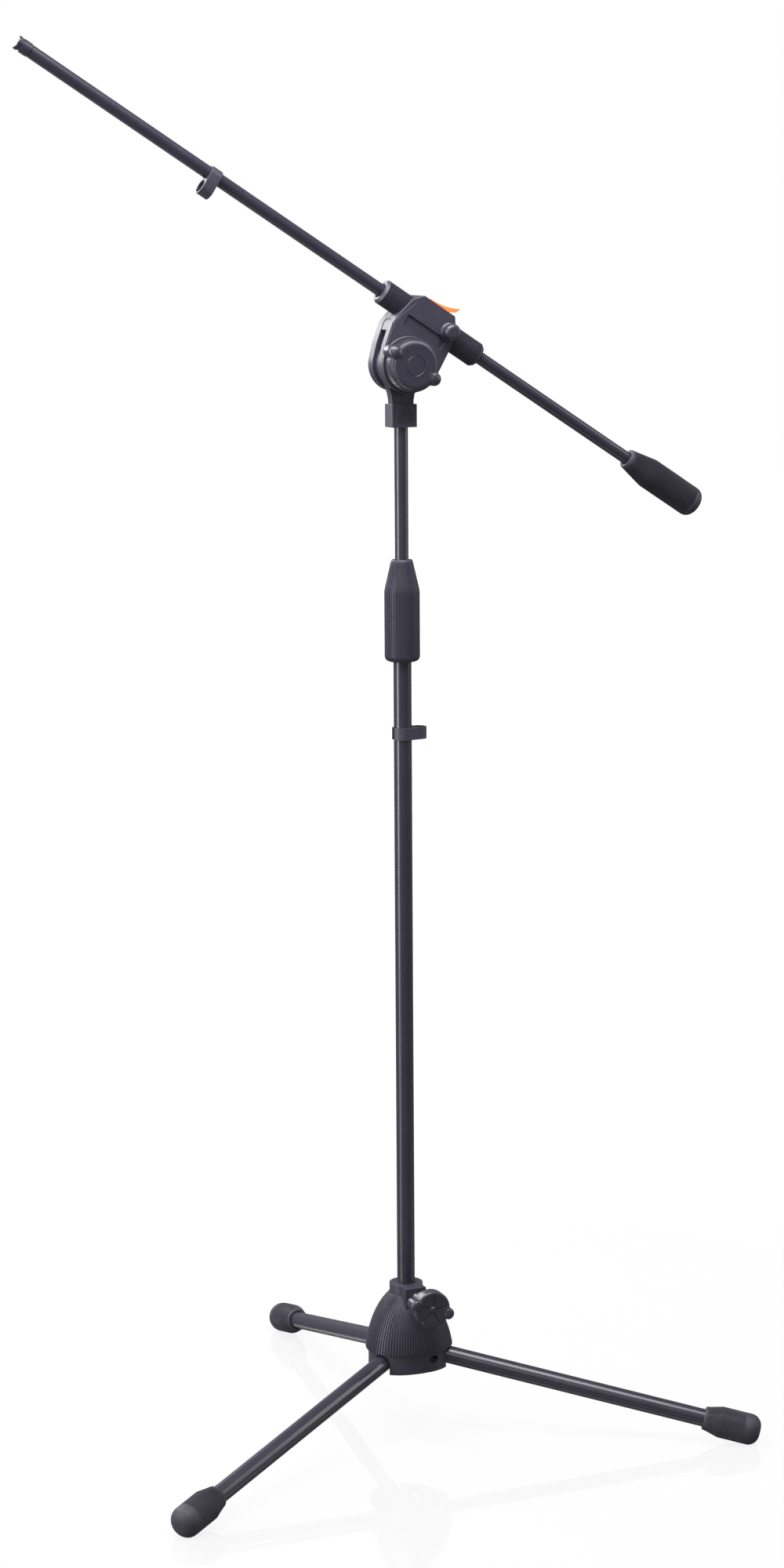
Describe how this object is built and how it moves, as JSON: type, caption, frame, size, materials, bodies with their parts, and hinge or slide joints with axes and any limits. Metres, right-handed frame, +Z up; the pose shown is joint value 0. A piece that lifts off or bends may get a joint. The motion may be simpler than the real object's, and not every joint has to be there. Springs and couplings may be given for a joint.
{
  "type": "boom microphone stand",
  "caption": "Folding tripod microphone stand with a telescopic mast and a tilting, sliding boom with a counterweight.",
  "frame": {"origin": "middle of the footprint and of the boom's reach (centre of the bounding box in plan), on the floor", "axes": "+Z up along the mast; the clamp knobs face -Y; the raised end of the boom points to -X and its counterweight to +X; one leg points to +Y"},
  "size_m": [0.8004, 0.6154, 1.5588],
  "materials": {
    "painted_tube": "satin charcoal powder coat",
    "moulded_plastic": "fine-grained moulded nylon",
    "gloss_plastic": "smooth moulded, half gloss",
    "soft_rubber": "matt, ribbed",
    "orange_plastic": "satin moulded",
    "steel": "zinc plated",
    "brass": "machined",
    "iron": "as cast"
  },
  "bodies": {
    "hub": {"hub_cover": "moulded_plastic", "hub_frame": "moulded_plastic", "base_collar": "moulded_plastic", "clamp_pad": "brass", "hub_screw_1": "steel", "hub_screw_2": "steel", "hub_screw_3": "steel", "leg_pin_a": "steel", "leg_pin_b": "steel", "leg_pin_c": "steel"},
    "base_knob": {"base_knob": "moulded_plastic", "base_knob_stud": "steel"},
    "leg_a": {"leg_tube_a": "painted_tube", "leg_plug_a": "moulded_plastic", "leg_foot_a": "soft_rubber"},
    "leg_b": {"leg_tube_b": "painted_tube", "leg_plug_b": "moulded_plastic", "leg_foot_b": "soft_rubber"},
    "leg_c": {"leg_tube_c": "painted_tube", "leg_plug_c": "moulded_plastic", "leg_foot_c": "soft_rubber"},
    "mast": {"lower_tube": "painted_tube", "mast_end_plug": "moulded_plastic", "clutch_body": "moulded_plastic", "clutch_collet": "moulded_plastic"},
    "clutch_grip": {"clutch_grip": "soft_rubber"},
    "mast_clip": {"mast_clip": "moulded_plastic"},
    "upper_rod": {"upper_rod": "painted_tube", "rod_guide_bush": "moulded_plastic", "rod_stud": "steel"},
    "yoke": {"yoke": "moulded_plastic"},
    "head": {"front_shell": "moulded_plastic", "back_shell": "moulded_plastic", "boom_sleeve": "moulded_plastic", "friction_washer_front": "soft_rubber", "friction_washer_back": "soft_rubber", "tilt_bolt": "steel", "spacer_disc": "moulded_plastic", "lever_pin": "steel", "lever_spring": "steel", "brake_pad": "soft_rubber"},
    "tilt_knob": {"tilt_knob": "gloss_plastic", "tilt_knob_insert": "brass", "tilt_knob_cap": "gloss_plastic"},
    "boom_knob": {"boom_knob": "moulded_plastic", "boom_knob_screw": "steel"},
    "release_lever": {"release_lever": "orange_plastic"},
    "boom": {"boom_tube": "painted_tube", "tip_adapter": "painted_tube", "counterweight_core": "iron", "counterweight_grip": "soft_rubber"},
    "boom_clip": {"boom_clip": "moulded_plastic"}
  },
  "joints": [
    {"name": "leg_fold_a", "type": "hinge", "parent": "hub", "child": "leg_a", "pos_m": [-0.00003, -0.11325, 0.09569], "axis": [0.5, -0.866, 0], "range_deg": [0, 77.4]},
    {"name": "leg_fold_b", "type": "hinge", "parent": "hub", "child": "leg_b", "pos_m": [0.05973, -0.11325, 0.09569], "axis": [0.5, 0.866, 0], "range_deg": [0, 77.4]},
    {"name": "leg_fold_c", "type": "hinge", "parent": "hub", "child": "leg_c", "pos_m": [0.02985, -0.0615, 0.09569], "axis": [-1, 0, 0], "range_deg": [0, 77.4]},
    {"name": "base_knob_turn", "type": "hinge", "parent": "hub", "child": "base_knob", "pos_m": [0.02985, -0.156, 0.16649], "axis": [0, -1, 0], "continuous": true},
    {"name": "mast_slide", "type": "slide", "parent": "hub", "child": "mast", "axis": [0, 0, 1], "range_m": [-0.33, 0]},
    {"name": "clutch_turn", "type": "hinge", "parent": "mast", "child": "clutch_grip", "pos_m": [0.02985, -0.096, 0.94849], "axis": [0, 0, 1], "range_deg": [0, 180]},
    {"name": "mast_clip_slide", "type": "slide", "parent": "mast", "child": "mast_clip", "axis": [0, 0, 1], "range_m": [-0.25, 0.07]},
    {"name": "rod_slide", "type": "slide", "parent": "mast", "child": "upper_rod", "axis": [0, 0, 1], "range_m": [-0.14, 0.44]},
    {"name": "head_pan", "type": "hinge", "parent": "upper_rod", "child": "yoke", "pos_m": [0.02985, -0.096, 1.15849], "axis": [0, 0, 1], "continuous": true},
    {"name": "boom_tilt", "type": "hinge", "parent": "yoke", "child": "head", "pos_m": [0.02985, -0.096, 1.21449], "axis": [0, 1, 0], "range_deg": [-112, 57]},
    {"name": "tilt_knob_turn", "type": "hinge", "parent": "head", "child": "tilt_knob", "pos_m": [0.02985, -0.129, 1.21449], "axis": [0, -1, 0], "continuous": true},
    {"name": "boom_knob_turn", "type": "hinge", "parent": "head", "child": "boom_knob", "pos_m": [0.07789, -0.126, 1.24868], "axis": [0, -1, 0], "continuous": true},
    {"name": "release_lever_press", "type": "hinge", "parent": "head", "child": "release_lever", "pos_m": [0.06343, -0.096, 1.27802], "axis": [0, 1, 0], "range_deg": [0, 6], "stiffness_Nm_per_rad": 0.1, "springref_deg": -8.59},
    {"name": "boom_slide", "type": "slide", "parent": "head", "child": "boom", "axis": [0.842, 0, -0.5395], "range_m": [-0.21, 0.15]},
    {"name": "boom_clip_slide", "type": "slide", "parent": "boom", "child": "boom_clip", "axis": [0.842, 0, -0.5395], "range_m": [-0.21, 0.06]}
  ]
}
